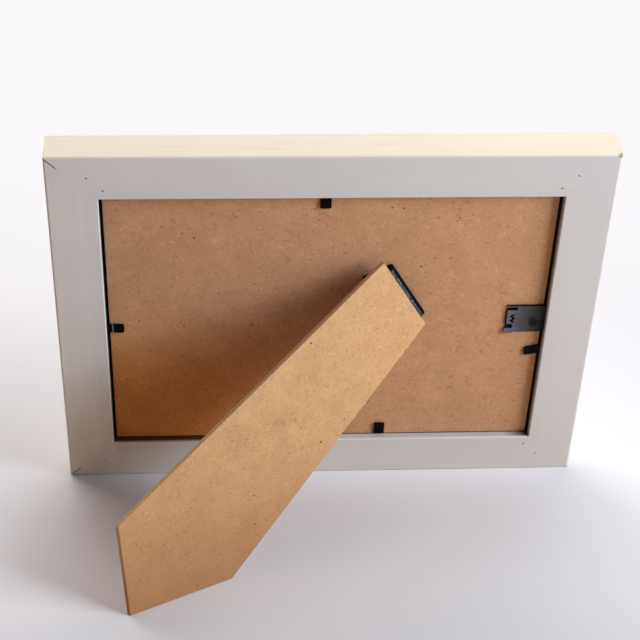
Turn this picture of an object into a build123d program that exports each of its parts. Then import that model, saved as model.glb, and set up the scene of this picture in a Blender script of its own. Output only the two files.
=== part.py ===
from build123d import *
from math import cos, radians, sin, tan
import os

# Easel back photo frame, in millimetres.
# Every piece is made in the frame's own axes: x to the right as seen from behind, y up the back,
# z out of the back, with zero at the middle of the bottom back edge. The last section stands the
# frame up, leaning on its strut, with its front towards -Y. Node names say left and right as seen
# from the front, so the side at +x is the left one.

# Picture and moulding
picture_width = 180.0
picture_height = 130.0
rebate_clearance = 1.0
moulding_width = 20.0
moulding_depth = 15.4
lip_width = 5.0
lip_thickness = 6.7
outer_edge_radius = 0.9
rebate_edge_radius = 0.6
sight_edge_radius = 0.8

# Gaps by which the mitres stand open at the outer corners
top_left_gap_width = 0.5
top_left_gap_length = 1.3
top_right_gap_width = 0.45
top_right_gap_length = 5.0
bottom_left_gap_width = 0.4
bottom_left_gap_length = 2.6
bottom_right_gap_width = 0.6
bottom_right_gap_length = 4.5

# Corner nails, V-shaped and driven in from behind
nail_leg = 7.0
nail_thickness = 0.5
nail_height = 7.0
nail_sink = 0.8
outer_nail_place = 9.5
inner_nail_place = 15.5
nail_pit_length = 1.3
nail_pit_width = 0.9

# What the rebate holds
glass_thickness = 2.0
glass_margin = 0.2
insert_thickness = 0.3
board_thickness = 2.5
board_margin = -0.2

# Flexible tabs
tab_width = 4.5
tab_reach = 7.0
tab_thickness = 0.5
tab_corner_radius = 0.9
tab_bury = 9.0
tab_point = 2.0
tab_tilt = 5.0
bend_clearance = 0.05
tab_lift = 0.05
top_tab_shift = -2.7
bottom_tab_shift = 24.8
left_tab_shift = -16.8
left_tab_skew = -6.0
right_tab_shift = -2.5

# Sawtooth hanger
hanger_width = 14.0
hanger_reach = 16.8
hanger_thickness = 0.8
hanger_lift = 0.4
hanger_shift = 0.6
hanger_bury = 10.0
hanger_point = 3.0
hanger_leg_width = 4.0
ear_flare = 0.7
ear_length = 4.0
ear_slope = 1.4
ear_width = 2.2
notch_width = 2.2
notch_depth = 3.3
slim_ear_width = 0.5
slim_notch_width = 1.6
slim_notch_depth = 4.8
tongue_setback = 0.7
tooth_count = 2
tooth_pitch = 2.3
tooth_height = 1.3
tooth_slot_width = 1.3
tooth_slot_place = 12.4
tooth_slot_shift = 0.4

# Strut and the leans that its foot is cut for
lean = 15.0
portrait_lean = 16.05
strut_open_angle = 36.5
strut_thickness = 2.2
strut_top_width = 37.7
landscape_side_taper = 7.75
portrait_side_taper = 1.8
strut_edge_radius = 0.3
fold_gap = 0.1
stop_clearance = 0.05

# Strut hinge
hinge_right_of_middle = 30.0
hinge_above_bottom = 105.05
hinge_turn = 120.2
hinge_shift = -2.1
leaf_thickness = 0.8
leaf_length = 12.0
end_knuckle = 5.3
stop_knuckle = 4.2
middle_knuckle = 8.4
knuckle_gap = 0.3
knuckle_clearance = 0.3
pin_clearance = 0.05
stop_rise = 3.6
prong_width = 1.6
prong_thickness = 0.8
prong_depth = 1.7
prong_spread = 17.0
prong_place = 8.0

# Worked out from the above
outer_width = picture_width + 2 * (rebate_clearance + moulding_width)
outer_height = picture_height + 2 * (rebate_clearance + moulding_width)
rail_width = moulding_width + lip_width
glass_front = lip_thickness - moulding_depth
glass_back = glass_front + glass_thickness
insert_back = glass_back + insert_thickness
board_back = insert_back + board_thickness
recess = -board_back
barrel_radius = (recess + fold_gap) / 2
bore_radius = barrel_radius - leaf_thickness
pin_radius = bore_radius - pin_clearance
hinge_length = 2 * (end_knuckle + stop_knuckle) + middle_knuckle + 4 * knuckle_gap

# Places in the frame's own axes: where the tabs, the hanger and the hinge have their zero
wall_x = outer_width / 2 - moulding_width
top_wall = Pos(top_tab_shift, outer_height - moulding_width, board_back) * Rot(Z=180)
bottom_wall = Pos(bottom_tab_shift, moulding_width, board_back)
left_wall = Pos(wall_x, outer_height / 2 + left_tab_shift, board_back) * Rot(Z=90)
right_wall = Pos(-wall_x, outer_height / 2 + right_tab_shift, board_back) * Rot(Z=-90)
hanger_wall = Pos(wall_x, outer_height / 2 + hanger_shift, board_back) * Rot(Z=90)
hinge_place = Pos(hinge_right_of_middle, hinge_above_bottom, board_back + barrel_radius) * Rot(Z=hinge_turn)
strut_place = hinge_place * Rot(X=strut_open_angle)


def plate(points, low, high):
    """A flat piece with a straight-sided outline, from one height to another."""
    return extrude(Pos(0, 0, low) * make_face(Polyline(*points, close=True)), high - low)


def block(x_range, y_range, z_range):
    """A box between two values on each axis."""
    spans = [high - low for low, high in (x_range, y_range, z_range)]
    middle = [(low + high) / 2 for low, high in (x_range, y_range, z_range)]
    return Pos(*middle) * Box(*spans)


def rod(radius, x_start, x_end):
    """A round bar along x."""
    return Pos((x_start + x_end) / 2, 0, 0) * Rot(Y=90) * Cylinder(radius, x_end - x_start)


def rounded(face, corner, radius):
    """Round the corner of a flat face that lies nearest a point."""
    return fillet(face.vertices().sort_by_distance(corner)[0], radius)


def moulding_section():
    """Moulding section: first axis in from the outer side, second axis out of the back."""
    outline = Polyline(
        (0, 0),
        (moulding_width, 0),
        (moulding_width, glass_front),
        (rail_width, glass_front),
        (rail_width, -moulding_depth),
        (0, -moulding_depth),
        close=True,
    )
    face = make_face(outline)
    face = rounded(face, (0, 0), outer_edge_radius)
    face = rounded(face, (0, -moulding_depth), outer_edge_radius)
    face = rounded(face, (moulding_width, 0), rebate_edge_radius)
    return rounded(face, (rail_width, -moulding_depth), sight_edge_radius)


def mitred_length(length):
    """One length of moulding along x, outer side at y = 0, with both ends mitred."""
    section_plane = Plane(origin=(-length / 2, 0, 0), x_dir=(0, 1, 0), z_dir=(1, 0, 0))
    bar = extrude(section_plane * moulding_section(), length)
    half = length / 2
    mitres = [(-half, 0), (half, 0), (half - rail_width, rail_width), (rail_width - half, rail_width)]
    return bar & plate(mitres, -moulding_depth, 0)


def at_corner(side_x, side_y, points):
    """Points given inwards from an outer corner, moved to that corner."""
    middle_y = outer_height / 2
    return [(side_x * (outer_width / 2 - x), middle_y + side_y * (middle_y - y)) for x, y in points]


def corner_nail_pair(side_x, side_y):
    """Two V-shaped nails across one mitre, their points towards the outer corner."""
    nails = []
    for place in (outer_nail_place, inner_nail_place):
        inside = place + nail_thickness
        end = place + nail_leg
        outline = [(place, place), (end, place), (end, inside), (inside, inside), (inside, end), (place, end)]
        nails.append(plate(at_corner(side_x, side_y, outline), -nail_sink - nail_height, -nail_sink))
    return nails


def nail_pits(side_x, side_y):
    """Torn pits in the rail, over the ends of the nails' legs."""
    pits = []
    for place in (outer_nail_place, inner_nail_place):
        end = place + nail_leg
        middle = place + nail_thickness / 2
        start = end - nail_pit_length
        outline = [
            (start, middle),
            (end - nail_pit_length / 3, middle - nail_pit_width / 2),
            (end, middle),
            (start + nail_pit_length / 3, middle + nail_pit_width / 2),
        ]
        pits.append(plate(at_corner(side_x, side_y, outline), -nail_sink, 0))
    return pits


def mitre_opening(side_x, side_y, width, length):
    """The thin wedge by which a mitre stands open at the outer corner."""
    wedge = [(0, 0), (0, width), (length, length)]
    return plate(at_corner(side_x, side_y, wedge), -moulding_depth, 0)


def rebate_sheet(margin, front, back):
    """A sheet that stands on the bottom of the rebate, larger than the picture by a margin per side."""
    half = picture_width / 2 + margin
    bottom = moulding_width
    return block((-half, half), (bottom, bottom + picture_height + 2 * margin), (front, back))


def bend_root(lift, thickness):
    """Where a bent strip turns: distance from the rebate wall, and height over the board."""
    return bend_clearance + thickness / 2, lift + thickness / 2


def tab_blade(skew):
    """The free end of a flexible tab, over the board. The rounded root turns at the rebate wall."""
    root, middle = bend_root(tab_lift, tab_thickness)
    half = tab_width / 2
    slant = (tab_reach - root) * tan(radians(skew))
    ends = [(slant - half, tab_reach), (slant + half, tab_reach)]
    outline = make_face(Polyline((half, root), (-half, root), *ends, close=True))
    for end in ends:
        outline = rounded(outline, end, tab_corner_radius)
    blade = extrude(Pos(0, -root, -tab_thickness / 2) * outline, tab_thickness)
    blade = blade + rod(tab_thickness / 2, -half, half)
    return Pos(0, root, middle) * Rot(X=tab_tilt) * blade


def tab_shank():
    """The pointed end of a flexible tab, driven into the moulding."""
    half = tab_width / 2
    shoulder = tab_point - tab_bury
    outline = [(-half, 0), (half, 0), (half, shoulder), (0, -tab_bury), (-half, shoulder)]
    return plate(outline, tab_lift, tab_lift + tab_thickness)


def hanger_plate():
    """Hanger plate: a tongue with a toothed slot, between a slim ear above and a flared ear below."""
    root, middle = bend_root(hanger_lift, hanger_thickness)
    half = hanger_width / 2
    ear_start = hanger_reach - ear_length
    tongue_end = hanger_reach - tongue_setback
    slim_inside = half - slim_ear_width
    tongue_top = slim_inside - slim_notch_width
    slim_notch_end = hanger_reach - slim_notch_depth
    ear_inside = ear_width - half
    tongue_bottom = ear_inside + notch_width
    notch_end = hanger_reach - notch_depth
    outline = [
        (half, root),
        (half, hanger_reach),
        (slim_inside, hanger_reach),
        (slim_inside, slim_notch_end),
        (tongue_top, slim_notch_end),
        (tongue_top, tongue_end),
        (tongue_bottom, tongue_end),
        (tongue_bottom, notch_end),
        (ear_inside, notch_end),
        (ear_inside, hanger_reach),
        (-half - ear_flare, hanger_reach),
        (-half - ear_flare, ear_start + ear_slope),
        (-half, ear_start),
        (-half, root),
    ]
    body = plate(outline, hanger_lift, hanger_lift + hanger_thickness)
    body = body + Pos(0, root, middle) * rod(hanger_thickness / 2, -half, half)
    return body - tooth_slot()


def tooth_slot():
    """The zigzag slot that catches on a nail."""
    steps = range(2 * tooth_count + 1)
    zigzag = [
        (
            tooth_slot_shift + (step - tooth_count) * tooth_pitch / 2,
            tooth_slot_place + tooth_height * (step % 2),
        )
        for step in steps
    ]
    far_side = [(x, y + tooth_slot_width) for x, y in reversed(zigzag)]
    return plate(zigzag + far_side, hanger_lift, hanger_lift + hanger_thickness)


def hanger_shank():
    """The hanger's two pointed legs, driven into the stile and joined just inside the wall."""
    half = hanger_width / 2
    shoulder = hanger_point - hanger_bury
    shank = block((-half, half), (-hanger_point, 0), (hanger_lift, hanger_lift + hanger_thickness))
    for outer in (-half, half):
        inner = outer - hanger_leg_width if outer > 0 else outer + hanger_leg_width
        outline = [(outer, 0), (inner, 0), (inner, shoulder), (outer, -hanger_bury)]
        shank = shank + plate(outline, hanger_lift, hanger_lift + hanger_thickness)
    return shank


def knuckle_spans():
    """Start and end of the five knuckles along the hinge, in turn on the strut's and the board's leaf."""
    spans = []
    start = hinge_shift - hinge_length / 2
    for length in (end_knuckle, stop_knuckle, middle_knuckle, stop_knuckle, end_knuckle):
        spans.append((start, start + length))
        start = start + length + knuckle_gap
    return spans


def leaf(own_spans, side):
    """A hinge leaf with its knuckles: side is 1 for the leaf over the pin, -1 for the one under it."""
    heights = sorted((side * barrel_radius, side * bore_radius))
    prong_heights = sorted((side * barrel_radius, side * (barrel_radius + prong_depth)))
    start = hinge_shift - hinge_length / 2
    free_from = barrel_radius + knuckle_clearance
    body = block((start, start + hinge_length), (free_from, leaf_length), heights)
    for span in own_spans:
        knuckle = rod(barrel_radius, *span) + block(span, (0, free_from), heights)
        body = body + (knuckle - rod(bore_radius, *span))
    for shift in (-prong_spread / 2, prong_spread / 2):
        x_range = (hinge_shift + shift - prong_width / 2, hinge_shift + shift + prong_width / 2)
        y_range = (prong_place, prong_place + prong_thickness)
        body = body + block(x_range, y_range, prong_heights)
    return body


def board_leaf():
    """The leaf on the backing board. Two of its knuckles run on into tails that stop the strut."""
    own_spans = knuckle_spans()[1::2]
    body = leaf(own_spans, -1)
    for span in own_spans:
        body = body + Rot(X=strut_open_angle) * block(span, (bore_radius, barrel_radius), (0, stop_rise))
    return hinge_place * body


def strut_leaf():
    """The leaf on the strut's inner face."""
    return strut_place * leaf(knuckle_spans()[0::2], 1)


def hinge_pin():
    """The pin through all five knuckles."""
    start = hinge_shift - hinge_length / 2
    return hinge_place * rod(pin_radius, start, start + hinge_length)


def floor_line(normal, edge_point, tilt):
    """Where the strut's inner face meets the floor, as a, b, c in a * x + b * y = c."""
    face = Plane(strut_place)
    edge_rise = outer_edge_radius * (cos(radians(tilt)) + sin(radians(tilt)) - 1)
    height = normal.dot(edge_point) + edge_rise
    inner_face_zero = face.origin + face.z_dir * barrel_radius
    return normal.dot(face.x_dir), normal.dot(face.y_dir), height - normal.dot(inner_face_zero)


def crossing(first, second):
    """The point where two lines a * x + b * y = c cross."""
    scale = first[0] * second[1] - second[0] * first[1]
    x = (first[2] * second[1] - second[2] * first[1]) / scale
    y = (first[0] * second[2] - second[0] * first[2]) / scale
    return x, y


def strut_leg():
    """The strut: tapered sides, and a foot whose two edges lie on the floor, one for each way up."""
    landscape = Vector(0, cos(radians(lean)), -sin(radians(lean)))
    portrait = Vector(cos(radians(portrait_lean)), 0, -sin(radians(portrait_lean)))
    landscape_foot = floor_line(landscape, Vector(0, 0, 0), lean)
    portrait_foot = floor_line(portrait, Vector(-outer_width / 2, 0, 0), portrait_lean)
    half = strut_top_width / 2
    top = barrel_radius + stop_clearance
    portrait_spread = tan(radians(portrait_side_taper))
    landscape_spread = tan(radians(landscape_side_taper))
    portrait_side = (1, -portrait_spread, half - portrait_spread * top)
    landscape_side = (1, landscape_spread, landscape_spread * top - half)
    outline = [
        (half, top),
        (-half, top),
        crossing(landscape_side, landscape_foot),
        crossing(landscape_foot, portrait_foot),
        crossing(portrait_side, portrait_foot),
    ]
    leg = plate(outline, barrel_radius, barrel_radius + strut_thickness)
    leg = fillet(leg.edges().group_by(Axis.Z)[-1], strut_edge_radius)
    return strut_place * leg


# Pieces that are driven or pressed into others
nail_pairs = {
    "corner_nails_top_left": corner_nail_pair(1, 1),
    "corner_nails_top_right": corner_nail_pair(-1, 1),
    "corner_nails_bottom_left": corner_nail_pair(1, -1),
    "corner_nails_bottom_right": corner_nail_pair(-1, -1),
}
shanks = {
    "tab_shank_top": top_wall * tab_shank(),
    "tab_shank_bottom": bottom_wall * tab_shank(),
    "tab_shank_left": left_wall * tab_shank(),
    "tab_shank_right": right_wall * tab_shank(),
    "hanger_shank": hanger_wall * hanger_shank(),
}
leaves = {"board_leaf": board_leaf(), "strut_leaf": strut_leaf()}

# Moulding, cut for what is driven into it
rails = {
    "top_rail": Pos(0, outer_height, 0) * Rot(Z=180) * mitred_length(outer_width),
    "bottom_rail": mitred_length(outer_width),
    "left_stile": Pos(outer_width / 2, outer_height / 2, 0) * Rot(Z=90) * mitred_length(outer_height),
    "right_stile": Pos(-outer_width / 2, outer_height / 2, 0) * Rot(Z=-90) * mitred_length(outer_height),
}
for stile, side_x, side_y, gap_width, gap_length in (
    ("left_stile", 1, 1, top_left_gap_width, top_left_gap_length),
    ("left_stile", 1, -1, bottom_left_gap_width, bottom_left_gap_length),
    ("right_stile", -1, 1, top_right_gap_width, top_right_gap_length),
    ("right_stile", -1, -1, bottom_right_gap_width, bottom_right_gap_length),
):
    rails[stile] = rails[stile] - mitre_opening(side_x, side_y, gap_width, gap_length)
for name in rails:
    for pair in nail_pairs.values():
        for nail in pair:
            rails[name] = rails[name] - nail
    for shank in shanks.values():
        rails[name] = rails[name] - shank
for side_y, rail in ((1, "top_rail"), (-1, "bottom_rail")):
    for side_x in (-1, 1):
        for pit in nail_pits(side_x, side_y):
            rails[rail] = rails[rail] - pit

# All pieces in the frame's own axes
pieces = {
    **rails,
    **{name: Compound(children=pair) for name, pair in nail_pairs.items()},
    **shanks,
    **leaves,
    "glass_pane": rebate_sheet(glass_margin, glass_front, glass_back),
    "photo_insert": rebate_sheet(0, glass_back, insert_back),
    "backing_board": rebate_sheet(board_margin, insert_back, board_back) - leaves["board_leaf"],
    "hinge_pin": hinge_pin(),
    "strut_leg": strut_leg() - leaves["strut_leaf"],
    "tab_top": top_wall * tab_blade(0),
    "tab_bottom": bottom_wall * tab_blade(0),
    "tab_left": left_wall * tab_blade(left_tab_skew),
    "tab_right": right_wall * tab_blade(0),
    "hanger_plate": hanger_wall * hanger_plate(),
}

# Stand the frame up on its bottom back edge and its strut, with zero under the middle of its box
leaning = Rot(Z=180) * Rot(X=90 + lean)
box = Compound(children=[leaning * piece for piece in pieces.values()]).bounding_box()
standing = Pos(-box.center().X, -box.center().Y, -box.min.Z) * leaning

os.makedirs("parts", exist_ok=True)
for name, piece in pieces.items():
    export_step(standing * piece, f"parts/{name}.step")
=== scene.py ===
import bpy
from math import radians
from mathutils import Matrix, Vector


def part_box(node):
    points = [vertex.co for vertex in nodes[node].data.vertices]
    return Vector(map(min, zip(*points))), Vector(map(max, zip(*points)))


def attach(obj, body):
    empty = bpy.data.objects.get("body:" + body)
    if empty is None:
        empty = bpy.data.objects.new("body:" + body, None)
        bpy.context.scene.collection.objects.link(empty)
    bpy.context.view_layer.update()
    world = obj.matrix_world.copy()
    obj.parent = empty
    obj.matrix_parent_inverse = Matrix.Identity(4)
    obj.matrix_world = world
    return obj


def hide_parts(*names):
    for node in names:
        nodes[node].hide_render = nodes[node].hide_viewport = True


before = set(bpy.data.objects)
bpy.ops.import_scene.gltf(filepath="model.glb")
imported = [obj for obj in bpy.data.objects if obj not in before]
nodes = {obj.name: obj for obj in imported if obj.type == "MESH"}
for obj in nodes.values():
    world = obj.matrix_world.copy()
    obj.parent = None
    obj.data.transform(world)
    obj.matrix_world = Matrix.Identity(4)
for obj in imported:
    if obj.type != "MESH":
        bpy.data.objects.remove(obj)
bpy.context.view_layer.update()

# Easel back photo frame, seen from behind. Metres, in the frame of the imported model.
# Patterns use the frame's own axes, in millimetres: x to the right as seen from behind, y up the back,
# z out of the back, with zero at the middle of the bottom back edge.
MM = 0.001
LEAN = 15.0                                  # degrees
BACK_EDGE = (0.0, -0.045847, -0.000202)
HALF_WIDTH = 111.0                           # mm, from here on
HEIGHT = 172.0
MOULDING_WIDTH = 20.0
BOARD_FACE = -3.9                            # heights of the board's face and of the glass seat
SEAT = -8.75
HANGER_MIDDLE = (82.6, 86.6, 0.0)            # middle of the hanger plate over the board
HANGER_HALVES = (8.2, 6.9, 100.0)
SHADE_PATCH = (86.5, 84.8, -2.7)                  # a painted dark patch of shade on the plate
REBATE_COAT = 6.0                            # how far the sealer reaches down the rebate walls
SHEET = (180.0, 130.0, 0.2)                  # the picture, and the radius of its corners
SHEET_CORNER = 2.5
BARREL_HIGHLIGHT = (-0.29, 0.955, -0.08)        # the way that the painted highlight line along the hinge barrel faces


def srgb(code):
    """A hex colour as linear red, green, blue and alpha."""
    parts = [int(code[i:i + 2], 16) / 255 for i in (1, 3, 5)]
    return tuple(p / 12.92 if p <= 0.04045 else ((p + 0.055) / 1.055) ** 2.4 for p in parts) + (1.0,)


def add(tree, kind, inputs=None, **settings):
    """Add one node. Settings are its own options; inputs are values, sockets, or nodes whose first output
    feeds them, by the socket's name or number."""
    node = tree.nodes.new(kind)
    for name, value in settings.items():
        setattr(node, name, value)
    for name, value in (inputs or {}).items():
        if isinstance(name, int):
            socket = node.inputs[name]
        else:
            socket = next(s for s in node.inputs if s.enabled and s.name == name)
        if isinstance(value, bpy.types.Node):
            value = next(out for out in value.outputs if out.enabled)
        if isinstance(value, bpy.types.NodeSocket):
            tree.links.new(value, socket)
        else:
            socket.default_value = value
    return node


def start_material(name):
    """A new material, its node tree and Object coordinates."""
    material = bpy.data.materials.new(name)
    material.use_nodes = True
    tree = material.node_tree
    tree.nodes.clear()
    return material, tree, add(tree, "ShaderNodeTexCoord").outputs["Object"]


def finish_material(tree, **inputs):
    """One shader with these inputs, named with _ for a space, and the output."""
    named = {name.replace("_", " "): value for name, value in inputs.items()}
    shader = add(tree, "ShaderNodeBsdfPrincipled", named)
    add(tree, "ShaderNodeOutputMaterial", {"Surface": shader})
    return shader


def own_axes(tree, place, sizes=(1, 1, 1)):
    """The frame's own axes, with one unit of each as long as the given size in millimetres."""
    turn = (radians(90 + LEAN), 0, radians(180))
    inputs = {"Vector": place, "Location": BACK_EDGE, "Rotation": turn, "Scale": [s * MM for s in sizes]}
    return add(tree, "ShaderNodeMapping", inputs, vector_type="TEXTURE")


def inward_from_rim(tree, own):
    """How far a point lies in from the nearer stile's outer side, from the nearer rail's, and from the
    nearest of all, in millimetres."""
    centred = add(tree, "ShaderNodeVectorMath", {0: own, 1: (0, HEIGHT / 2, 0)}, operation="SUBTRACT")
    centred = add(tree, "ShaderNodeVectorMath", {0: centred}, operation="ABSOLUTE")
    room = add(tree, "ShaderNodeVectorMath", {0: (HALF_WIDTH, HEIGHT / 2, 0), 1: centred},
               operation="SUBTRACT")
    room = add(tree, "ShaderNodeSeparateXYZ", {0: room})
    least = add(tree, "ShaderNodeMath", {0: room.outputs[0], 1: room.outputs[1]}, operation="MINIMUM")
    return room.outputs[0], room.outputs[1], least


def moulding_wood(name, grain_sizes, coat_sizes, coat_reach, rebate_shade_code, corner_shade):
    """Limewood moulding, planed and clear lacquered, with a light grey sealer sprayed on from behind.
    The eye sees cream wood with a very faint lengthwise grain outside, and an even, silky warm grey on the
    back and the rebate walls, painted paler towards one side as if more light fell there, with a crisp edge
    at the outer rounding. The sealer reaches the given height on that rounding. Down the rebate walls it is
    painted darker into brown shade, strongest on the paler side and at the other end, and the rebate behind
    the board's face is painted near black as shade."""
    material, tree, place = start_material(name)
    own = own_axes(tree, place)
    axes = add(tree, "ShaderNodeSeparateXYZ", {0: own})
    height = axes.outputs[2]
    from_stile, from_rail, inward = inward_from_rim(tree, own)

    # Wood: fine grain lines, wider growth bands and rare short pores, all along the length
    along = own_axes(tree, place, grain_sizes)
    grain = add(tree, "ShaderNodeTexNoise", {"Vector": along, "Scale": 1.0, "Detail": 4.0, "Roughness": 0.6})
    bands = add(tree, "ShaderNodeTexNoise", {"Vector": along, "Scale": 0.2, "Detail": 1.0})
    streak = add(tree, "ShaderNodeMapRange",
                 {"Value": grain, "From Min": 0.4, "From Max": 0.7, "To Max": 0.45})
    band = add(tree, "ShaderNodeMapRange",
               {"Value": bands, "From Min": 0.5, "From Max": 0.75, "To Max": 0.5})
    pores = add(tree, "ShaderNodeTexVoronoi", {"Vector": along, "Scale": 0.9})
    pore = add(tree, "ShaderNodeMapRange",
               {"Value": pores, "From Min": 0.16, "From Max": 0.08, "To Max": 0.35})
    wood = add(tree, "ShaderNodeMix", {"Factor": streak, "A": srgb("#EDDDCA"), "B": srgb("#E5D1B7")},
               data_type="RGBA")
    wood = add(tree, "ShaderNodeMix", {"Factor": band, "A": wood, "B": srgb("#E6D2B7")}, data_type="RGBA")
    wood = add(tree, "ShaderNodeMix", {"Factor": pore, "A": wood, "B": srgb("#CDB591")}, data_type="RGBA")

    # Sealer: painted paler towards one side, standing in for more light there, with slow clouds about 25 mm
    # across and faint passes of the spray
    cloud = add(tree, "ShaderNodeTexNoise", {"Vector": own, "Scale": 1 / 25, "Detail": 2.0})
    passes = add(tree, "ShaderNodeTexNoise",
                 {"Vector": own_axes(tree, place, coat_sizes), "Scale": 1.0, "Detail": 3.0})
    tone = add(tree, "ShaderNodeMath", {0: cloud, 1: passes}, operation="ADD")
    tone = add(tree, "ShaderNodeMapRange", {"Value": tone, "From Min": 0.75, "From Max": 1.25})
    side = add(tree, "ShaderNodeMapRange",
               {"Value": axes.outputs[0], "From Min": -HALF_WIDTH, "From Max": HALF_WIDTH})
    coat = add(tree, "ShaderNodeMix", {"Factor": side, "A": srgb("#E6E2E4"), "B": srgb("#D3CFD1")},
               data_type="RGBA")
    tone = add(tree, "ShaderNodeMapRange", {"Value": tone, "To Max": 0.3})
    coat = add(tree, "ShaderNodeMix", {"Factor": tone, "A": coat, "B": srgb("#CFC9CA")}, data_type="RGBA")

    # The sealer ends on the outer rounding, with a slightly uneven edge, and reaches down the rebate walls
    in_rebate = add(tree, "ShaderNodeMath", {0: inward, 1: 0.75 * MOULDING_WIDTH}, operation="GREATER_THAN")
    edge = add(tree, "ShaderNodeMath", {0: in_rebate, 1: REBATE_COAT, 2: height}, operation="MULTIPLY_ADD")
    wander = add(tree, "ShaderNodeTexNoise", {"Vector": own, "Scale": 1 / 3, "Detail": 3.0})
    edge = add(tree, "ShaderNodeMath", {0: wander, 1: 0.2, 2: edge}, operation="MULTIPLY_ADD")
    coated = add(tree, "ShaderNodeMapRange",
                 {"Value": edge, "From Min": coat_reach - 0.09, "From Max": coat_reach + 0.09},
                 interpolation_type="SMOOTHSTEP")
    # One corner is knocked, down to bare wood
    knock = add(tree, "ShaderNodeVectorMath", {0: own, 1: (HALF_WIDTH, HEIGHT, 0)}, operation="DISTANCE")
    knock = add(tree, "ShaderNodeMath", {0: wander, 1: 2.0, 2: knock}, operation="MULTIPLY_ADD")
    whole = add(tree, "ShaderNodeMapRange", {"Value": knock, "From Min": 2.4, "From Max": 2.9})
    wood = add(tree, "ShaderNodeMix", {"Factor": whole, "A": srgb("#B3A88C"), "B": wood}, data_type="RGBA")
    coated = add(tree, "ShaderNodeMath", {0: coated, 1: whole}, operation="MULTIPLY")

    stipple = add(tree, "ShaderNodeTexNoise", {"Vector": own, "Scale": 1 / 0.6, "Detail": 2.0})
    colour = add(tree, "ShaderNodeMix", {"Factor": coated, "A": wood, "B": coat}, data_type="RGBA")

    # Painted shade in the rebate, down to its seat for the glass: stronger at the paler side and at the other
    # end, and near black just behind the board's face
    shade_strength = add(tree, "ShaderNodeMapRange", {"Value": axes.outputs[0], "From Min": -10.0, "From Max": -45.0,
                                             "To Min": 0.3, "To Max": 1.0})
    corner = add(tree, "ShaderNodeMapRange",
                 {"Value": axes.outputs[0], "From Min": HALF_WIDTH - MOULDING_WIDTH - 15,
                  "From Max": HALF_WIDTH - MOULDING_WIDTH, "To Max": corner_shade})
    shade_strength = add(tree, "ShaderNodeMath", {0: shade_strength, 1: corner}, operation="MAXIMUM")
    above_seat = add(tree, "ShaderNodeMath", {0: height, 1: SEAT}, operation="GREATER_THAN")
    above_seat = add(tree, "ShaderNodeMath", {0: above_seat, 1: in_rebate}, operation="MULTIPLY")
    # Painted shade: brown down the rebate walls, then near black just behind the board's face
    for start, end, most, code in ((0.2, BOARD_FACE + 2.2, shade_strength, rebate_shade_code),
                                   (BOARD_FACE + 0.9, BOARD_FACE + 0.1, 1.0, "#0D0906")):
        rebate_shade = add(tree, "ShaderNodeMapRange",
                    {"Value": height, "From Min": start, "From Max": end, "To Max": most},
                    interpolation_type="SMOOTHSTEP")
        rebate_shade = add(tree, "ShaderNodeMath", {0: rebate_shade, 1: above_seat}, operation="MULTIPLY")
        colour = add(tree, "ShaderNodeMix", {"Factor": rebate_shade, "A": colour, "B": srgb(code)},
                     data_type="RGBA")

    # Dirt down in the open end of each mitre, on the stile's side of the corner, and out on its face at
    # the paler side
    deep = add(tree, "ShaderNodeMapRange", {"Value": height, "From Min": -0.05, "From Max": -0.25})
    dirt = add(tree, "ShaderNodeMath", {0: axes.outputs[0], 1: 0.0}, operation="LESS_THAN")
    dirt = add(tree, "ShaderNodeMath", {0: dirt, 1: deep}, operation="MAXIMUM")
    across = add(tree, "ShaderNodeMath", {0: from_rail, 1: from_stile}, operation="SUBTRACT")
    across = add(tree, "ShaderNodeMath", {0: across, 1: 0.25}, operation="SUBTRACT")
    across = add(tree, "ShaderNodeMath", {0: across}, operation="ABSOLUTE")
    for value, start, end in ((across, 0.34, 0.24), (inward, 0.1, 0.3), (inward, 5.4, 4.2)):
        share = add(tree, "ShaderNodeMapRange", {"Value": value, "From Min": start, "From Max": end})
        dirt = add(tree, "ShaderNodeMath", {0: dirt, 1: share}, operation="MULTIPLY")
    colour = add(tree, "ShaderNodeMix", {"Factor": dirt, "A": colour, "B": srgb("#1E1712")},
                 data_type="RGBA")
    gloss = add(tree, "ShaderNodeMapRange", {"Value": stipple, "From Min": 0.3, "From Max": 0.7,
                                             "To Min": 0.46, "To Max": 0.58})
    relief = add(tree, "ShaderNodeMix", {"Factor": coated, "A": grain.outputs[0], "B": stipple.outputs[0]})
    bump = add(tree, "ShaderNodeBump", {"Height": relief, "Strength": 0.1, "Distance": 0.1 * MM})
    finish_material(tree, Base_Color=colour, Roughness=gloss, Normal=bump, Specular_IOR_Level=0.25)
    return material


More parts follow.
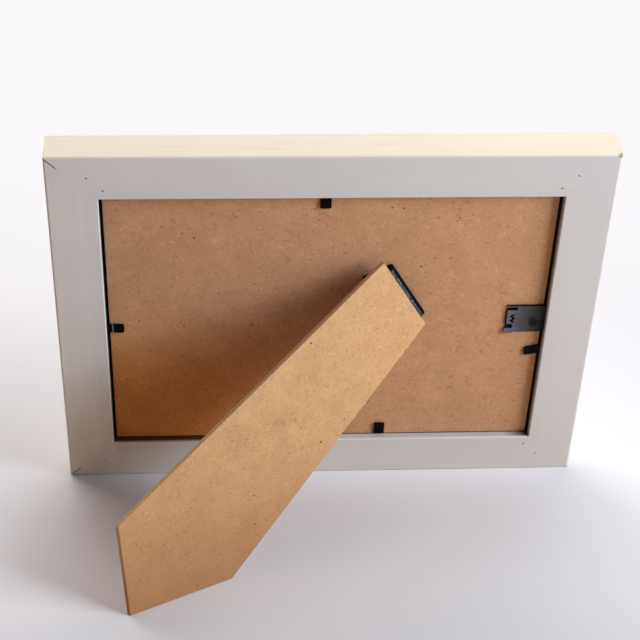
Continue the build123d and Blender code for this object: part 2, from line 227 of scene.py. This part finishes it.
def hardboard(name, face, pale, dark, strand, foot_shade_height=0.0, painted_shade_marks=False):
    """Raw fibreboard, pressed smooth from wet felted fibre: warm brown and cloudy, with short curved strands
    and small dark bark flecks. Its sawn edges, square to the face, are paler and furry. A foot is painted
    darker up to the given height, in millimetres, as shade, most on the sawn edges. With the painted shade
    marks, the board is painted near black as shade under the plate that lies on it, and a warmer, darker
    brown as shade low on the side away from the plate."""
    material, tree, place = start_material(name)
    spot = add(tree, "ShaderNodeMapping", {"Vector": place, "Scale": (MM, MM, MM)}, vector_type="TEXTURE")
    cloud = add(tree, "ShaderNodeTexNoise",
                {"Vector": spot, "Scale": 1 / 12, "Detail": 4.0, "Roughness": 0.6})
    tone = add(tree, "ShaderNodeMapRange", {"Value": cloud, "From Min": 0.3, "From Max": 0.7})
    colour = add(tree, "ShaderNodeMix", {"Factor": tone, "A": srgb(dark), "B": srgb(pale)}, data_type="RGBA")

    # Felted fibre: a mottle about 1 mm across, pale and dark
    mottle = add(tree, "ShaderNodeTexNoise",
                 {"Vector": spot, "Scale": 1 / 1.4, "Detail": 4.0, "Roughness": 0.7, "Distortion": 1.2})
    for start, end, most, code in ((0.5, 0.74, 0.26, "#8A5A35"), (0.46, 0.25, 0.22, "#EBC79B")):
        share = add(tree, "ShaderNodeMapRange",
                    {"Value": mottle, "From Min": start, "From Max": end, "To Max": most})
        colour = add(tree, "ShaderNodeMix", {"Factor": share, "A": colour, "B": srgb(code)},
                     data_type="RGBA")

    # Strands: thin curved lines a few millimetres long, where two slow patterns allow them
    swirl = add(tree, "ShaderNodeTexNoise",
                {"Vector": spot, "Scale": 1 / 4, "Detail": 2.0, "Distortion": 1.5})
    patch = add(tree, "ShaderNodeTexNoise", {"Vector": spot, "Scale": 1 / 2.2, "Detail": 1.0})
    allowed = add(tree, "ShaderNodeMapRange", {"Value": patch, "From Min": 0.5, "From Max": 0.6})
    for level, code in ((0.47, "#70452A"), (0.55, "#E8C497")):
        line = add(tree, "ShaderNodeMath", {0: swirl, 1: level}, operation="SUBTRACT")
        line = add(tree, "ShaderNodeMath", {0: line}, operation="ABSOLUTE")
        line = add(tree, "ShaderNodeMapRange",
                   {"Value": line, "From Min": 0.022, "From Max": 0.008, "To Max": strand})
        line = add(tree, "ShaderNodeMath", {0: line, 1: allowed}, operation="MULTIPLY")
        colour = add(tree, "ShaderNodeMix", {"Factor": line, "A": colour, "B": srgb(code)}, data_type="RGBA")

    # Bark flecks with ragged outlines: mean spacing, greatest radius (mm), depth of colour, colour
    ragged = add(tree, "ShaderNodeTexNoise", {"Vector": spot, "Scale": 1 / 0.7, "Detail": 2.0})
    ragged = add(tree, "ShaderNodeVectorMath", {0: ragged.outputs["Color"], 1: (0.7, 0.7, 0.7), 2: spot},
                 operation="MULTIPLY_ADD")
    for spacing, radius, depth, code in ((1.5, 0.26, 0.5, "#7A4218"), (2.6, 0.4, 0.85, "#5A2404"),
                                         (4.6, 0.56, 1.0, "#3E0E00")):
        cells = add(tree, "ShaderNodeTexVoronoi", {"Vector": ragged, "Scale": 1 / spacing})
        lot = add(tree, "ShaderNodeSeparateColor", {0: cells.outputs["Color"]})
        width = add(tree, "ShaderNodeMapRange", {"Value": lot, "From Min": 0.25, "To Max": radius / spacing})
        inside = add(tree, "ShaderNodeMath", {0: width, 1: cells}, operation="SUBTRACT")
        fleck = add(tree, "ShaderNodeMapRange",
                    {"Value": inside, "From Max": 0.5 * radius / spacing, "To Max": depth})
        colour = add(tree, "ShaderNodeMix", {"Factor": fleck, "A": colour, "B": srgb(code)},
                     data_type="RGBA")

    if painted_shade_marks:
        own = own_axes(tree, place)
        axes = add(tree, "ShaderNodeSeparateXYZ", {0: own})
        # Painted shade: a warmer, darker brown low on the side away from the plate
        low_side_shade = 1.0
        for value, start, end in ((axes.outputs[0], 30.0, -60.0), (axes.outputs[1], 102.0, 42.0)):
            share = add(tree, "ShaderNodeMapRange", {"Value": value, "From Min": start, "From Max": end},
                        interpolation_type="SMOOTHSTEP")
            low_side_shade = add(tree, "ShaderNodeMath", {0: low_side_shade, 1: share}, operation="MULTIPLY")
        colour = add(tree, "ShaderNodeMix", {"Factor": low_side_shade, "A": colour, "B": srgb("#FFDEA4")},
                     data_type="RGBA", blend_type="MULTIPLY")
        # Painted shade: near black under the hanger plate and just around its outline
        away = add(tree, "ShaderNodeVectorMath", {0: own, 1: HANGER_MIDDLE}, operation="SUBTRACT")
        away = add(tree, "ShaderNodeVectorMath", {0: away}, operation="ABSOLUTE")
        away = add(tree, "ShaderNodeVectorMath", {0: away, 1: HANGER_HALVES}, operation="SUBTRACT")
        away = add(tree, "ShaderNodeSeparateXYZ", {0: away})
        away = add(tree, "ShaderNodeMath", {0: away.outputs[0], 1: away.outputs[1]}, operation="MAXIMUM")
        plate_shade = add(tree, "ShaderNodeMapRange",
                    {"Value": away, "From Min": 0.5, "From Max": -0.3, "To Max": 0.95})
        colour = add(tree, "ShaderNodeMix", {"Factor": plate_shade, "A": colour, "B": srgb("#0C0806")},
                     data_type="RGBA")

    # Sawn edges, paler than the pressed face
    normal = add(tree, "ShaderNodeTexCoord").outputs["Normal"]
    facing = add(tree, "ShaderNodeVectorMath", {0: normal, 1: face}, operation="DOT_PRODUCT")
    facing = add(tree, "ShaderNodeMath", {0: facing}, operation="ABSOLUTE")
    sawn = add(tree, "ShaderNodeMapRange",
               {"Value": facing, "From Min": 0.8, "From Max": 0.5, "To Max": 0.75})
    colour = add(tree, "ShaderNodeMix", {"Factor": sawn, "A": colour, "B": srgb("#E6B88C")},
                 data_type="RGBA")
    # Painted shade: the foot is darker up to the given height, most on the sawn edges
    if foot_shade_height:
        rise = add(tree, "ShaderNodeSeparateXYZ", {0: spot}).outputs[2]
        most = add(tree, "ShaderNodeMapRange",
                   {"Value": sawn, "From Max": 0.75, "To Min": 0.55, "To Max": 0.75})
        foot_shade = add(tree, "ShaderNodeMapRange", {"Value": rise, "From Min": foot_shade_height, "From Max": 0.0,
                                                  "To Max": most}, interpolation_type="SMOOTHSTEP")
        colour = add(tree, "ShaderNodeMix", {"Factor": foot_shade, "A": colour, "B": srgb("#986240")},
                     data_type="RGBA")
    fur = add(tree, "ShaderNodeMapRange", {"Value": sawn, "From Max": 0.75, "To Min": 0.22, "To Max": 0.8})
    gloss = add(tree, "ShaderNodeMapRange", {"Value": mottle, "From Min": 0.3, "From Max": 0.7,
                                             "To Min": 0.55, "To Max": 0.72})
    bump = add(tree, "ShaderNodeBump", {"Height": mottle, "Strength": fur, "Distance": 0.2 * MM})
    finish_material(tree, Base_Color=colour, Roughness=gloss, Normal=bump, Specular_IOR_Level=0.12)
    return material


def black_oxide_steel(name, highlight_way=None):
    """Soft steel strip, blued black and oiled: nearly black with a low sheen, rubbed a little paler in
    streaks. Where the tab on one side is bent most, a bright line along the bend is a painted highlight. A
    round barrel gets a painted highlight line where it faces the given way."""
    material, tree, place = start_material(name)
    own = own_axes(tree, place)
    rub = add(tree, "ShaderNodeTexNoise", {"Vector": own, "Scale": 1 / 2.2, "Detail": 5.0, "Roughness": 0.7})
    worn = add(tree, "ShaderNodeMapRange", {"Value": rub, "From Min": 0.5, "From Max": 0.8})
    colour = add(tree, "ShaderNodeMix", {"Factor": worn, "A": srgb("#050507"), "B": srgb("#15161B")},
                 data_type="RGBA")
    inward = inward_from_rim(tree, own)[2]
    # Painted highlight: a bright line along the bend of the tab on one side
    bow = add(tree, "ShaderNodeMath", {0: rub, 1: 1.2, 2: inward}, operation="MULTIPLY_ADD")
    bend_highlight = add(tree, "ShaderNodeMath", {0: bow, 1: MOULDING_WIDTH + 2.9}, operation="SUBTRACT")
    bend_highlight = add(tree, "ShaderNodeMath", {0: bend_highlight}, operation="ABSOLUTE")
    bend_highlight = add(tree, "ShaderNodeMapRange",
                 {"Value": bend_highlight, "From Min": 0.3, "From Max": 0.1, "To Max": 0.6})
    one_side = add(tree, "ShaderNodeSeparateXYZ", {0: own}).outputs[0]
    one_side = add(tree, "ShaderNodeMath", {0: one_side, 1: -0.7 * HALF_WIDTH}, operation="LESS_THAN")
    bend_highlight = add(tree, "ShaderNodeMath", {0: bend_highlight, 1: one_side}, operation="MULTIPLY")
    colour = add(tree, "ShaderNodeMix", {"Factor": bend_highlight, "A": colour, "B": srgb("#A9ABB2")},
                 data_type="RGBA")
    # Painted highlight: a pale line along the barrel where it faces the given way
    if highlight_way:
        normal = add(tree, "ShaderNodeTexCoord").outputs["Normal"]
        facing = add(tree, "ShaderNodeVectorMath", {0: normal, 1: highlight_way}, operation="DOT_PRODUCT")
        streak = add(tree, "ShaderNodeMapRange", {"Value": facing, "From Min": 0.945, "From Max": 0.985})
        patchy = add(tree, "ShaderNodeMapRange", {"Value": rub, "From Min": 0.35, "From Max": 0.55})
        streak = add(tree, "ShaderNodeMath", {0: streak, 1: patchy}, operation="MULTIPLY")
        colour = add(tree, "ShaderNodeMix", {"Factor": streak, "A": colour, "B": srgb("#8C868C")},
                     data_type="RGBA")
    fine = add(tree, "ShaderNodeTexNoise", {"Vector": own, "Scale": 1 / 0.4, "Detail": 2.0})
    gloss = add(tree, "ShaderNodeMapRange", {"Value": fine, "From Min": 0.3, "From Max": 0.7,
                                             "To Min": 0.34, "To Max": 0.5})
    bump = add(tree, "ShaderNodeBump", {"Height": fine, "Strength": 0.15, "Distance": 0.05 * MM})
    finish_material(tree, Base_Color=colour, Roughness=gloss, Normal=bump, Specular_IOR_Level=0.05)
    return material


def hanger_steel(name, face):
    """Soft steel plate, blued: plain dark grey, paler blue grey at its free end, and painted darker near the
    wall as shade, with a painted dark patch of shade. Its sheared edges are black."""
    material, tree, place = start_material(name)
    own = own_axes(tree, place)
    inward = inward_from_rim(tree, own)[2]
    smear = add(tree, "ShaderNodeTexNoise", {"Vector": own, "Scale": 1 / 5, "Detail": 3.0, "Roughness": 0.6})
    out = add(tree, "ShaderNodeMath", {0: smear, 1: 6.0, 2: inward}, operation="MULTIPLY_ADD")
    # Paler blue grey towards the free end, and painted shade darkening towards the wall
    colour = srgb("#4C4C4E")
    for start, end, code in ((12.0, 18.0, "#666A7A"), (11.0, 4.0, "#17191B")):
        share = add(tree, "ShaderNodeMapRange", {"Value": out, "From Min": MOULDING_WIDTH + start,
                                                 "From Max": MOULDING_WIDTH + end})
        colour = add(tree, "ShaderNodeMix", {"Factor": share, "A": colour, "B": srgb(code)},
                     data_type="RGBA")
    # Painted shade: a dark patch on the plate
    shade_patch = add(tree, "ShaderNodeVectorMath", {0: own, 1: SHADE_PATCH}, operation="DISTANCE")
    shade_patch = add(tree, "ShaderNodeMath", {0: smear, 1: 5.0, 2: shade_patch}, operation="MULTIPLY_ADD")
    shade_patch = add(tree, "ShaderNodeMapRange",
                 {"Value": shade_patch, "From Min": 5.2, "From Max": 3.8, "To Max": 0.8})
    colour = add(tree, "ShaderNodeMix", {"Factor": shade_patch, "A": colour, "B": srgb("#0E0F10")},
                 data_type="RGBA")
    normal = add(tree, "ShaderNodeTexCoord").outputs["Normal"]
    facing = add(tree, "ShaderNodeVectorMath", {0: normal, 1: face}, operation="DOT_PRODUCT")
    facing = add(tree, "ShaderNodeMath", {0: facing}, operation="ABSOLUTE")
    sheared = add(tree, "ShaderNodeMapRange", {"Value": facing, "From Min": 0.8, "From Max": 0.5})
    colour = add(tree, "ShaderNodeMix", {"Factor": sheared, "A": colour, "B": srgb("#08080A")},
                 data_type="RGBA")
    fine = add(tree, "ShaderNodeTexNoise", {"Vector": own, "Scale": 1 / 0.4, "Detail": 2.0})
    gloss = add(tree, "ShaderNodeMapRange", {"Value": fine, "From Min": 0.3, "From Max": 0.7,
                                             "To Min": 0.36, "To Max": 0.5})
    bump = add(tree, "ShaderNodeBump", {"Height": fine, "Strength": 0.15, "Distance": 0.05 * MM})
    finish_material(tree, Base_Color=colour, Roughness=gloss, Normal=bump, Metallic=0.25,
                    Specular_IOR_Level=0.1)
    return material


def spring_steel(name):
    """Bright rolled spring steel of the corner nails: grey metal with fine rolling lines."""
    material, tree, place = start_material(name)
    lines = add(tree, "ShaderNodeTexNoise",
                {"Vector": own_axes(tree, place, (0.3, 0.3, 6)), "Scale": 1.0, "Detail": 3.0})
    colour = add(tree, "ShaderNodeMix", {"Factor": lines, "A": srgb("#7E7F82"), "B": srgb("#B4B5B8")},
                 data_type="RGBA")
    gloss = add(tree, "ShaderNodeMapRange", {"Value": lines, "From Min": 0.3, "From Max": 0.7,
                                             "To Min": 0.25, "To Max": 0.42})
    finish_material(tree, Base_Color=colour, Roughness=gloss, Metallic=1.0)
    return material


def float_glass(name):
    """Clear float glass with a faint green body, wiped by hand: sharp reflections with slight smears."""
    material, tree, place = start_material(name)
    smear = add(tree, "ShaderNodeTexNoise", {"Vector": own_axes(tree, place), "Scale": 1 / 30, "Detail": 3.0,
                                             "Distortion": 1.0})
    gloss = add(tree, "ShaderNodeMapRange",
                {"Value": smear, "From Min": 0.4, "From Max": 0.7, "To Max": 0.05})
    body = add(tree, "ShaderNodeBsdfPrincipled",
               {"Base Color": srgb("#FBFEFC"), "Roughness": gloss, "IOR": 1.52, "Transmission Weight": 1.0})
    # Lamps reach the picture through the glass
    rays = add(tree, "ShaderNodeLightPath")
    passing = add(tree, "ShaderNodeBsdfTransparent", {"Color": srgb("#FAFDFB")})
    lamp_ray = add(tree, "ShaderNodeMath",
                   {0: rays.outputs["Is Shadow Ray"], 1: rays.outputs["Is Diffuse Ray"]},
                   operation="MAXIMUM")
    mixed = add(tree, "ShaderNodeMixShader", {0: lamp_ray, 1: body, 2: passing})
    add(tree, "ShaderNodeOutputMaterial", {"Surface": mixed})
    return material


def photo_paper(name):
    """Blank satin photo paper: near white, with a very fine pebbled sheen."""
    material, tree, place = start_material(name)
    own = own_axes(tree, place)
    pebble = add(tree, "ShaderNodeTexNoise", {"Vector": own, "Scale": 1 / 0.6, "Detail": 2.0})
    cloud = add(tree, "ShaderNodeTexNoise", {"Vector": own, "Scale": 1 / 25, "Detail": 2.0})
    colour = add(tree, "ShaderNodeMix", {"Factor": cloud, "A": srgb("#F3F1EC"), "B": srgb("#ECEAE4")},
                 data_type="RGBA")
    gloss = add(tree, "ShaderNodeMapRange", {"Value": pebble, "From Min": 0.3, "From Max": 0.7,
                                             "To Min": 0.32, "To Max": 0.45})
    bump = add(tree, "ShaderNodeBump", {"Height": pebble, "Strength": 0.1, "Distance": 0.05 * MM})
    finish_material(tree, Base_Color=colour, Roughness=gloss, Normal=bump)
    return material


def broad_face(node):
    """The way that a flat piece's broad face looks."""
    return tuple(max(node.data.polygons, key=lambda face: face.area).normal)


# The last two arguments give the colour of the painted shade in the rebate and its strength at the other end
rail_wood = moulding_wood("limewood_rail", (45, 1.1, 1.1), (80, 2.5, 2.5), -0.1, "#4E2C14", 1.0)
stile_wood = moulding_wood("limewood_stile", (1.1, 45, 1.1), (2.5, 80, 2.5), -1.6, "#232021", 0.45)
finishes = {
    "backing_board": hardboard("hardboard_back", broad_face(nodes["backing_board"]), "#D29F7B", "#C49370",
                               0.4, painted_shade_marks=True),
    "strut_leg": hardboard("hardboard_strut", broad_face(nodes["strut_leg"]), "#CDA175", "#C0936A", 0.32,
                           foot_shade_height=60.0),
    "glass_pane": float_glass("clear_float_glass"),
    "photo_insert": photo_paper("satin_photo_paper"),
}
black_steel = black_oxide_steel("black_oxide_steel")
hinge_steel = black_oxide_steel("black_oxide_hinge", BARREL_HIGHLIGHT)
blued_plate = hanger_steel("blued_steel_plate", broad_face(nodes["hanger_plate"]))
nail_steel = spring_steel("bright_spring_steel")
for name, node in nodes.items():
    if name.endswith("rail"):
        finish = rail_wood
    elif name.endswith("stile"):
        finish = stile_wood
    elif name.startswith("corner_nails"):
        finish = nail_steel
    elif name.startswith("hanger"):
        finish = blued_plate
    elif name in ("board_leaf", "strut_leaf", "hinge_pin"):
        finish = hinge_steel
    else:
        finish = finishes.get(name, black_steel)
    node.data.materials.clear()
    node.data.materials.append(finish)


# Picture: a blank sheet with its corners cut round, a hair's breadth behind the glass
lowest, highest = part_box("photo_insert")
middle = (Vector(lowest) + Vector(highest)) / 2
bpy.ops.object.select_all(action="DESELECT")
bpy.ops.mesh.primitive_cube_add(size=MM, location=middle, rotation=(radians(90 + LEAN), 0, radians(180)),
                                scale=SHEET)
sheet = bpy.context.object
sheet.name = "photo_sheet"
bpy.ops.object.transform_apply(location=False, rotation=False, scale=True)
bpy.ops.object.mode_set(mode="EDIT")
bpy.ops.mesh.select_mode(type="EDGE")
bpy.ops.mesh.select_all(action="DESELECT")
bpy.ops.object.mode_set(mode="OBJECT")
points = sheet.data.vertices
for edge in sheet.data.edges:
    start, end = (points[i].co for i in edge.vertices)
    edge.select = (start - end).length < SHEET_CORNER * MM
bpy.ops.object.mode_set(mode="EDIT")
bpy.ops.mesh.bevel(offset=SHEET_CORNER * MM, segments=5)
bpy.ops.object.mode_set(mode="OBJECT")
bpy.ops.object.transform_apply(location=True, rotation=True, scale=False)
sheet.data.materials.append(finishes["photo_insert"])
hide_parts("photo_insert")
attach(sheet, "frame")


def seen_directly(tree):
    """1 for what the camera sees, in a mirror or through glass too, and 0 for the light that surfaces get."""
    rays = add(tree, "ShaderNodeLightPath")
    seen = add(tree, "ShaderNodeMath", {0: rays.outputs["Is Camera Ray"], 1: rays.outputs["Is Glossy Ray"]},
               operation="MAXIMUM")
    return add(tree, "ShaderNodeMath", {0: seen, 1: rays.outputs["Is Transmission Ray"]},
               operation="MAXIMUM")


# Floor: a pale sheet that goes from soft grey near the strut to white beyond the frame and far from it
bpy.ops.object.select_all(action="DESELECT")
bpy.ops.mesh.primitive_plane_add(size=8.0, location=(0, 0, 0))
floor = bpy.context.object
floor.name = "floor"
paper_floor, tree, spot = start_material("pale_paper_floor")
axes = add(tree, "ShaderNodeSeparateXYZ", {0: spot})
slope = add(tree, "ShaderNodeMath", {0: axes.outputs[0], 1: 0.4, 2: axes.outputs[1]},
            operation="MULTIPLY_ADD")
far = add(tree, "ShaderNodeMapRange", {"Value": slope, "From Min": 0.0, "From Max": -0.4},
          interpolation_type="SMOOTHSTEP")
away = add(tree, "ShaderNodeVectorMath", {0: spot}, operation="LENGTH").outputs[1]
away = add(tree, "ShaderNodeMapRange", {"Value": away, "From Min": 0.35, "From Max": 0.8},
           interpolation_type="SMOOTHSTEP")
far = add(tree, "ShaderNodeMath", {0: far, 1: away}, operation="MAXIMUM")
# Painted shade: the floor is greyer towards the camera and on the key lamp's side
near = add(tree, "ShaderNodeMapRange", {"Value": axes.outputs[1], "From Min": 0.03, "From Max": 0.12},
           interpolation_type="SMOOTHSTEP")
lamp_side = add(tree, "ShaderNodeMapRange", {"Value": axes.outputs[0], "From Min": -0.13, "From Max": -0.26},
                interpolation_type="SMOOTHSTEP")
shade = add(tree, "ShaderNodeMix", {"Factor": near, "A": srgb("#EBE7EA"), "B": srgb("#D7D4D8")},
            data_type="RGBA")
shade = add(tree, "ShaderNodeMix", {"Factor": lamp_side, "A": shade, "B": srgb("#D2CFD2")}, data_type="RGBA")
seen = seen_directly(tree)
tint = add(tree, "ShaderNodeMix", {"Factor": seen, "A": srgb("#E0CAB0"), "B": shade}, data_type="RGBA")
matt = add(tree, "ShaderNodeBsdfDiffuse", {"Color": tint})
white = add(tree, "ShaderNodeEmission", {"Color": srgb("#FAF8FB"), "Strength": 1.0})
share = add(tree, "ShaderNodeMath", {0: far, 1: seen}, operation="MULTIPLY")
surface = add(tree, "ShaderNodeMixShader", {0: share, 1: matt, 2: white})
add(tree, "ShaderNodeOutputMaterial", {"Surface": surface})
floor.data.materials.append(paper_floor)

# Light: white surroundings that shine from the front of the frame, a large soft key on the hanger's side,
# and two soft lamps above and beyond the frame
world = bpy.data.worlds.new("white_studio")
bpy.context.scene.world = world
world.use_nodes = True
tree = world.node_tree
tree.nodes.clear()
direction = add(tree, "ShaderNodeTexCoord").outputs["Generated"]
level = add(tree, "ShaderNodeVectorMath", {0: direction, 1: (0, -0.8, 0.2)}, operation="DOT_PRODUCT")
level = add(tree, "ShaderNodeMath", {0: level, 1: 0.0}, operation="MAXIMUM")
around = add(tree, "ShaderNodeBackground", {"Color": srgb("#FFFDFA"), "Strength": level})
behind = add(tree, "ShaderNodeBackground", {"Color": srgb("#FBFAFC"), "Strength": 1.0})
surface = add(tree, "ShaderNodeMixShader", {0: seen_directly(tree), 1: around, 2: behind})
add(tree, "ShaderNodeOutputWorld", {"Surface": surface})

for name, place, aim, size, spread, power, code in (
    ("key_softbox", (-0.65, 0.35, 0.42), (0.0, -0.25, 0.12), 0.5, 110, 3.75, "#EDF7FF"),
    ("far_softbox", (0.35, -0.45, 0.60), (0.0, 0.0, 0.07), 0.6, 180, 2.65, "#FFFAF6"),
    ("top_softbox", (0.0, -0.25, 0.75), (0.0, 0.0, 0.07), 0.6, 180, 1.3, "#FFFFFF"),
):
    bpy.ops.object.light_add(type="AREA", location=place)
    lamp = bpy.context.object
    lamp.name = name
    lamp.data.size = size
    lamp.data.spread = radians(spread)
    lamp.data.energy = power
    lamp.data.color = srgb(code)[:3]
    lamp.rotation_euler = (Vector(aim) - Vector(place)).to_track_quat("-Z", "Y").to_euler()

bpy.ops.object.camera_add(location=(0.04619, 0.61378, 0.39699),
                          rotation=(radians(64.032), radians(-0.962), radians(176.620)))
camera = bpy.context.object
camera.data.lens = 96.858
camera.data.sensor_width = 36.0
camera.data.dof.use_dof = False
bpy.context.scene.camera = camera

bpy.context.scene.view_settings.view_transform = "Standard"
